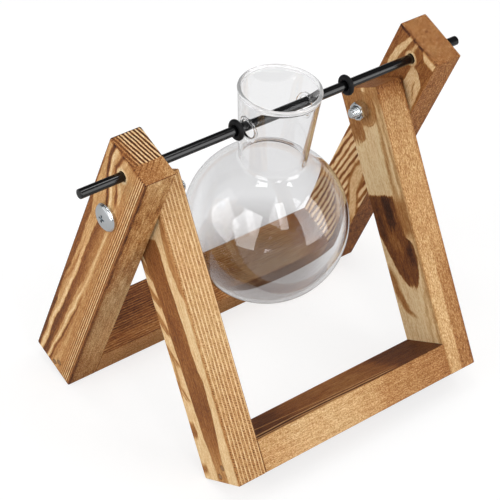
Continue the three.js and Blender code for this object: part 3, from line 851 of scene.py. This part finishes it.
def pivot_bolt(word, side):
    """Screw with a low domed head; its along points go from 0 under the head to the head's top."""
    low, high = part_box(f"{word}_pivot_bolt")
    outer, tail = (high.x, low.x) if side > 0 else (low.x, high.x)
    place = axis_along_x(outer - side * HEAD_HEIGHT, side, PIVOT.y, PIVOT.z)
    tip = -abs(outer - tail) + HEAD_HEIGHT
    core = THREAD_RADIUS - THREAD_DEPTH
    profile = [(0, tip), (core - TIP_EDGE, tip)]
    profile += arc((core - TIP_EDGE, tip + TIP_EDGE), TIP_EDGE, -60, 0, 4)
    profile += thread(tip + TIP_EDGE + THREAD_FROM_TIP)
    profile += [(THREAD_RADIUS, 0)]
    profile += arc((HEAD_RADIUS - HEAD_EDGE, HEAD_EDGE), HEAD_EDGE, -90, 0, 5)
    profile += arc((HEAD_RADIUS - HEAD_CORNER, HEAD_RIM - HEAD_CORNER_DROP), HEAD_CORNER, 0, 60, 5, HEAD_CORNER_RISE)
    top = profile[-1]
    profile += arc((0, top[1]), top[0], 8, 90, 22, HEAD_HEIGHT - top[1])[:-1] + [(0, HEAD_HEIGHT)]
    bolt = turned(f"{word}_bolt", zinc, profile, ROUND_SIDES, place)
    for along_y in (True, False):
        boolean(bolt, recess_arm(place, HEAD_HEIGHT, along_y), "DIFFERENCE")
    shade(bolt, SHARP_BOLT)
    stand_in(bolt, f"{word}_pivot_bolt", "outer_frame")


def pivot_nut(word, side):
    """Hexagon nut with turned chamfers and countersunk bore ends."""
    low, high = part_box(f"{word}_pivot_nut")
    inner = low.x if side > 0 else high.x
    thickness = high.x - low.x
    corners_up = high.z - low.z > high.y - low.y
    place = axis_along_x(inner, side, PIVOT.y, PIVOT.z)

    def outline(end):
        """Edge where the flats meet the turned chamfer of one face."""
        def at(angle):
            turn = (angle + (math.pi / 6 if corners_up else 0)) % (math.pi / 3) - math.pi / 6
            radius = NUT_HALF_FLATS / math.cos(turn)
            drop = (radius - NUT_CIRCLE) * NUT_SLOPE
            return radius, drop if end == 0 else thickness - drop
        return at

    wide = NUT_BORE + NUT_COUNTERSINK
    ring = [(NUT_BORE, NUT_COUNTERSINK), (wide, 0), (NUT_CIRCLE, 0), outline(0), outline(1),
            (NUT_CIRCLE, thickness), (wide, thickness), (NUT_BORE, thickness - NUT_COUNTERSINK)]
    nut = turned(f"{word}_nut", zinc, ring + ring[:1], ROUND_SIDES, place, JOIN_DISTANCE)
    shade(nut, SHARP_NUT)
    stand_in(nut, f"{word}_pivot_nut", "outer_frame")


def stop_ring(word):
    low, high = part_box(f"{word}_stop_ring")
    x = (low.x + high.x) / 2
    path = []
    for i in range(ROUND_SIDES):
        angle = 2 * math.pi * i / ROUND_SIDES
        path.append(Vector((x, ROD.y + RING_MIDDLE * math.cos(angle), ROD.z + RING_MIDDLE * math.sin(angle))))
    ring = tube(f"{word}_rubber_ring", black_rubber, path, RING_RADII, RING_TUBE_SIDES)
    stand_in(ring, f"{word}_stop_ring", f"{word}_ring")


def hanging_rod():
    low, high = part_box("hanging_rod")
    half = (high.x - low.x) / 2
    place = axis_along_x((low.x + high.x) / 2, 1, ROD.y, ROD.z)
    inner = ROD_RADIUS - ROD_EDGE
    left = arc((inner, -half + ROD_EDGE), ROD_EDGE, -90, 0, 5)
    right = [(radius, -along) for radius, along in reversed(left)]
    rod = turned("black_rod", black_paint, [(0, -half)] + left + right + [(0, half)], ROUND_SIDES, place)
    shade(rod, SHARP_ROUND)
    stand_in(rod, "hanging_rod", "rod")


for word, side in (("left", -1), ("right", 1)):
    pivot_bolt(word, side)
    pivot_nut(word, side)
    stop_ring(word)
hanging_rod()


# Glass vase: sizes as the part's, heights from the rod's axis
GLASS_WALL = 1.2 * MM
BULB_RADIUS = 36.4 * MM
BULB_BELOW_ROD = 57.4 * MM
NECK_BASE_RADIUS = 14.6 * MM
NECK_TOP_RADIUS = 17.7 * MM
RIM_ABOVE_ROD = 11.9 * MM
RIM_BEAD_RADIUS = 0.85 * MM
NECK_FILLET = 2.5 * MM
NECK_HOLE_RADIUS = 4.2 * MM
HOLE_DROP = 1.8 * MM
LIP_RADIUS = 0.8 * MM
LIP_OVERLAP = 0.15 * MM
GLASS_SIDES = 160
BULB_STEPS = 70
FILLET_STEPS = 8
NECK_STEPS = 24
BEAD_STEPS = 20
LIP_STEPS = 64
LIP_SIDES = 14
NECK_BASE_HEIGHT = math.sqrt(BULB_RADIUS ** 2 - NECK_BASE_RADIUS ** 2) - BULB_BELOW_ROD
NECK_SLOPE = (NECK_TOP_RADIUS - NECK_BASE_RADIUS) / (RIM_ABOVE_ROD - NECK_BASE_HEIGHT)
NECK_FLARE = math.atan(NECK_SLOPE)


def glass_surface(depth):
    """Points of one side of the glass, from the bulb's lowest point through the fillet to the neck."""
    base = NECK_BASE_RADIUS + NECK_FILLET / math.cos(NECK_FLARE) - NECK_SLOPE * (BULB_BELOW_ROD + NECK_BASE_HEIGHT)
    reach = BULB_RADIUS + NECK_FILLET
    a = 1 + NECK_SLOPE ** 2
    half_b = NECK_SLOPE * base
    rise = (-half_b + math.sqrt(half_b ** 2 - a * (base ** 2 - reach ** 2))) / a
    centre = (base + NECK_SLOPE * rise, rise - BULB_BELOW_ROD)
    shoulder = math.degrees(math.atan2(rise, centre[0]))
    bulb = arc((0, -BULB_BELOW_ROD), BULB_RADIUS - depth, -90, shoulder, BULB_STEPS)
    fillet = arc(centre, NECK_FILLET + depth, shoulder + 180, 180 - math.degrees(NECK_FLARE), FILLET_STEPS)
    return [(0, bulb[0][1])] + bulb[1:] + fillet[1:]


def vase_profile():
    """Outside, rim bead and inside of the glass as one line."""
    outer, inner = glass_surface(0), glass_surface(GLASS_WALL)
    half = GLASS_WALL / 2
    bead = (NECK_TOP_RADIUS - half * math.cos(NECK_FLARE), RIM_ABOVE_ROD + half * math.sin(NECK_FLARE))
    flare = math.degrees(NECK_FLARE)
    spring = math.degrees(math.acos(half / RIM_BEAD_RADIUS))
    rim = arc(bead, RIM_BEAD_RADIUS, -spring - flare, 180 + spring - flare, BEAD_STEPS)

    def straight(start, end):
        return [(start[0] + (end[0] - start[0]) * i / NECK_STEPS,
                 start[1] + (end[1] - start[1]) * i / NECK_STEPS) for i in range(1, NECK_STEPS)]

    up = straight(outer[-1], rim[0])
    down = straight(rim[-1], inner[-1])
    return outer + up + rim + down + inner[::-1]


vase_low, vase_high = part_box("glass_vase")
VASE_X = (vase_low.x + vase_high.x) / 2


def neck_hole_path(side):
    """Middle line of the lip round a hole, on the middle of the neck's wall."""
    radius = NECK_HOLE_RADIUS + LIP_RADIUS - LIP_OVERLAP
    points = []
    for i in range(LIP_STEPS):
        angle = 2 * math.pi * i / LIP_STEPS
        y, z = radius * math.cos(angle), radius * math.sin(angle) - HOLE_DROP
        wall = NECK_BASE_RADIUS + NECK_SLOPE * (z - NECK_BASE_HEIGHT) - GLASS_WALL / 2
        x = side * math.sqrt(wall ** 2 - y ** 2)
        points.append(Vector((VASE_X + x, ROD.y + y, ROD.z + z)))
    return points


def glass_vase():
    """The bulb with its drilled neck. It casts no shadow, because that of plain glass would be nearly black."""
    vase = turned("glass_bulb_vase", clear_glass, vase_profile(), GLASS_SIDES,
                  lambda a, b, c: (VASE_X + a, ROD.y + b, ROD.z + c))
    reach = BULB_RADIUS
    drill_profile = [(0, -reach), (NECK_HOLE_RADIUS, -reach), (NECK_HOLE_RADIUS, reach), (0, reach)]
    drill = turned("drill", clear_glass, drill_profile, LIP_STEPS,
                   lambda a, b, c: (VASE_X + c, ROD.y + a, ROD.z - HOLE_DROP + b))
    boolean(vase, drill, "DIFFERENCE")
    for side in (-1, 1):
        lip = tube("lip", clear_glass, neck_hole_path(side), (LIP_RADIUS, LIP_RADIUS), LIP_SIDES)
        boolean(vase, lip, "UNION")
    vase.data.materials.append(milky_glass)
    for face in vase.data.polygons:
        if face.center.z > ROD.z + RIM_ABOVE_ROD - RIM_BEAD_RADIUS:
            face.material_index = 1
    shade(vase, SHARP_ROUND)
    vase.visible_shadow = False
    stand_in(vase, "glass_vase", "vase")


glass_vase()


# Camera, light and floor

def set_camera():
    camera = new_object("camera", bpy.data.cameras.new("camera"))
    camera.data.sensor_width = SENSOR
    camera.data.lens = FOCAL_LENGTH_IN_IMAGES * SENSOR
    camera.data.clip_end = CLIP_END
    away = CAMERA_RIGHT.cross(CAMERA_UP)
    turn = Matrix((CAMERA_RIGHT, CAMERA_UP, away)).transposed().to_4x4()
    camera.matrix_world = Matrix.Translation(PIVOT + CAMERA_FROM_PIVOT) @ turn
    bpy.context.scene.camera = camera


LAMP_POWER_PER_RADIANCE = 4

# The rays that meet a lamp: it lights matt surfaces, or shows in shiny ones, or not from inside the glass
MATT = ("diffuse",)
SHINE = ("glossy", "transmission")
OUTER_SHINE = ("glossy",)

# Name, direction from the object, distance, width and height, radiance, rays
LAMPS = [
    ("left_softbox", (-0.90, 0.12, 0.26), 0.9, (0.74, 0.72), 1.9, MATT),
    ("front_softbox", (0.40, -0.88, 0.16), 0.9, (0.42, 0.66), 2.6, MATT),
    ("top_lamp_back", (-0.11, 0.13, 0.99), 1.0, (0.16, 0.16), 8, MATT),
    ("top_lamp_right", (0.46, -0.17, 0.87), 1.0, (0.16, 0.16), 8, MATT),
    ("front_strip", (-0.18, -0.64, 0.75), 1.0, (0.16, 0.34), 4, MATT),
    ("left_glint", (-0.90, -0.29, 0.31), 0.9, (0.62, 0.93), 2.4, SHINE),
    ("left_back_glint", (-0.88, 0.36, 0.31), 0.9, (0.71, 0.90), 0.5, SHINE),
    ("front_glint", (0.50, -0.82, 0.28), 0.9, (0.60, 0.94), 2.6, SHINE),
    ("top_glint_back", (-0.11, 0.13, 0.99), 1.0, (0.26, 0.26), 6, OUTER_SHINE),
    ("top_glint_right", (0.31, -0.13, 0.94), 2.0, (0.42, 0.50), 6, OUTER_SHINE),
    ("strip_glint", (-0.17, -0.71, 0.68), 1.0, (0.20, 0.64), 2.6, SHINE),
]


def soft_lamp(name, towards, distance, size, radiance, rays):
    """Rectangular lamp that faces the object from the given direction; a radiance of 1 looks white."""
    lamp = bpy.data.lights.new(name, "AREA")
    lamp.shape = "RECTANGLE"
    lamp.size, lamp.size_y = size
    lamp.energy = LAMP_POWER_PER_RADIANCE * radiance * size[0] * size[1]
    light = new_object(name, lamp)
    aim = Vector((0, 0, ROD.z / 2))
    light.location = aim + Vector(towards).normalized() * distance
    light.rotation_euler = (aim - light.location).to_track_quat("-Z", "Y").to_euler()
    light.visible_camera = False
    light.visible_glossy = "glossy" in rays
    light.visible_transmission = "transmission" in rays
    light.visible_diffuse = "diffuse" in rays


def light_path(tree, *kinds):
    """1 for rays of any of the given kinds."""
    path = tree.nodes.new("ShaderNodeLightPath")
    found = Field(tree, path.outputs[kinds[0]])
    for kind in kinds[1:]:
        found = found.max(Field(tree, path.outputs[kind]))
    return found


# Brightness of the room. Matt surfaces get AMBIENT and the camera sees white. What is reflected falls from
# HORIZON to OVERHEAD and is darker at the back. Through glass the room is nearly white, and dim overhead.
AMBIENT = 0.64
HORIZON = 0.30
OVERHEAD = 0.14
DARK_BACK = 0.08
THROUGH_GLASS = 0.92
THROUGH_GLASS_OVERHEAD = 0.2
ROOM_FADE = (0.05, 0.45)
BACK_FADE = (0.3, 0.55)
THROUGH_GLASS_FADE = (0.02, 0.22)


def set_world():
    world = bpy.data.worlds.new("studio")
    world.use_nodes = True
    bpy.context.scene.world = world
    tree = world.node_tree
    back = tree.nodes["Background"]
    set_inputs(back, {"Color": (1, 1, 1, 1)})
    up = coordinate(tree, "Generated", "Z")
    room = HORIZON - up.step(*ROOM_FADE) * (HORIZON - OVERHEAD)
    room = room - coordinate(tree, "Generated", "Y").step(*BACK_FADE) * DARK_BACK
    strength = (room - AMBIENT) * light_path(tree, "Is Glossy Ray") + AMBIENT
    through = THROUGH_GLASS - up.step(*THROUGH_GLASS_FADE) * (THROUGH_GLASS - THROUGH_GLASS_OVERHEAD)
    strength = (through - strength) * light_path(tree, "Is Transmission Ray") + strength
    strength = strength.max(light_path(tree, "Is Camera Ray"))
    tree.links.new(strength.socket, back.inputs["Strength"])


# The floor's colour for the light that it throws on the object, and a darker colour plus a glow for the rays
# that show it, which makes it white and keeps the shadow
FLOOR_ALBEDO = 0.6
FLOOR_SHADE = 0.3
FLOOR_REFLECTED = 0.48
FLOOR_GLOW = 0.73
FLOOR_GLOW_FAR = 0.12
FLOOR_GLOW_REFLECTED = 0.05
FLOOR_FAR = (0.3, 2.0)
FLOOR_HALF = 15.0


def set_floor():
    verts = [(x * FLOOR_HALF, y * FLOOR_HALF, 0) for x, y in ((-1, -1), (1, -1), (1, 1), (-1, 1))]
    material, tree, shader = new_material("floor_white")
    tree.nodes.remove(shader)
    output = tree.nodes["Material Output"]
    diffuse = tree.nodes.new("ShaderNodeBsdfDiffuse")
    seen = light_path(tree, "Is Camera Ray", "Is Transmission Ray")
    reflected = light_path(tree, "Is Glossy Ray")
    tone = seen * (FLOOR_SHADE - FLOOR_ALBEDO) + reflected * (FLOOR_REFLECTED - FLOOR_ALBEDO) + FLOOR_ALBEDO
    tree.links.new(tone.socket, diffuse.inputs["Color"])
    glow = tree.nodes.new("ShaderNodeEmission")
    reach = tree.nodes.new("ShaderNodeVectorMath")
    reach.operation = "LENGTH"
    tree.links.new(tree.nodes.new("ShaderNodeTexCoord").outputs["Object"], reach.inputs[0])
    far = Field(tree, reach.outputs["Value"]).step(*FLOOR_FAR)
    strength = seen * (far * FLOOR_GLOW_FAR + FLOOR_GLOW) + reflected * FLOOR_GLOW_REFLECTED
    tree.links.new(strength.socket, glow.inputs["Strength"])
    both = tree.nodes.new("ShaderNodeAddShader")
    tree.links.new(diffuse.outputs[0], both.inputs[0])
    tree.links.new(glow.outputs[0], both.inputs[1])
    tree.links.new(both.outputs[0], output.inputs["Surface"])
    floor = piece("floor", verts, [(0, 1, 2, 3)], material, smooth=False)


set_camera()
set_world()
set_floor()
for lamp in LAMPS:
    soft_lamp(*lamp)
bpy.context.scene.view_settings.view_transform = "Standard"
